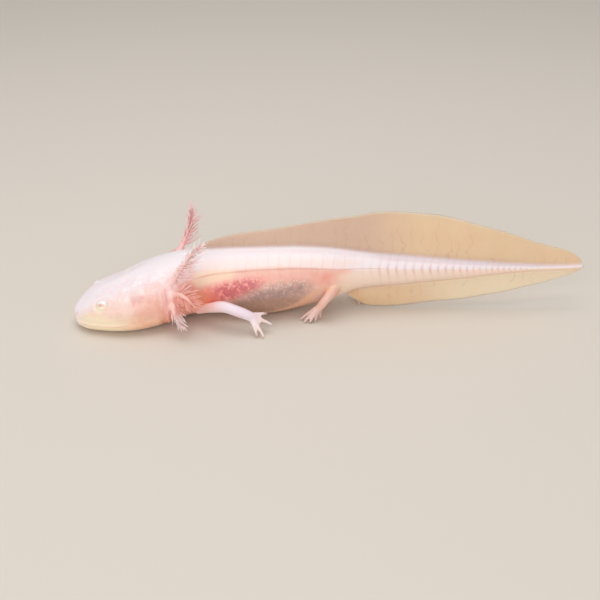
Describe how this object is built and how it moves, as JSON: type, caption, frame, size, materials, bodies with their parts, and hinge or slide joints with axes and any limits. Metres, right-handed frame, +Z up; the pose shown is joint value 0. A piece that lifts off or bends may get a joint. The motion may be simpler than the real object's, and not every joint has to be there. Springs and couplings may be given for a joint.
{
  "type": "axolotl",
  "caption": "Life-size young albino axolotl lying on the floor: broad flat head, feathery gills, swept-back limbs and a long tail with tall thin fins.",
  "frame": {"origin": "middle of the animal's outline seen from above, on the floor that it rests on", "axes": "+X from the snout to the tail tip, +Z up, so the animal's left side faces -Y"},
  "size_m": [0.1796, 0.0488, 0.0374],
  "materials": {
    "white_skin": "moist white skin with a faint lilac sheen",
    "pink_skin": "moist pink skin, flushed along the flanks",
    "fin_skin": "thin translucent skin",
    "gill_skin": "soft pink gill skin",
    "eye": "wet pearly eye"
  },
  "bodies": {
    "root": {"head": "white_skin", "jaw": "white_skin", "eye_left": "eye", "eye_right": "eye", "neck": "pink_skin", "trunk_front": "pink_skin", "trunk_rear": "pink_skin", "tail_base": "white_skin", "tail_middle": "white_skin", "tail_tip": "white_skin", "dorsal_fin": "fin_skin", "tail_fin_upper": "fin_skin", "tail_fin_lower": "fin_skin", "upper_arm_left": "white_skin", "forearm_left": "white_skin", "hand_left": "white_skin", "upper_arm_right": "white_skin", "forearm_right": "white_skin", "hand_right": "white_skin", "thigh_left": "white_skin", "shank_left": "white_skin", "foot_left": "white_skin", "thigh_right": "white_skin", "shank_right": "white_skin", "foot_right": "white_skin", "gill_left_upper": "gill_skin", "gill_left_middle": "gill_skin", "gill_left_lower": "gill_skin", "gill_right_upper": "gill_skin", "gill_right_middle": "gill_skin", "gill_right_lower": "gill_skin"}
  },
  "joints": []
}
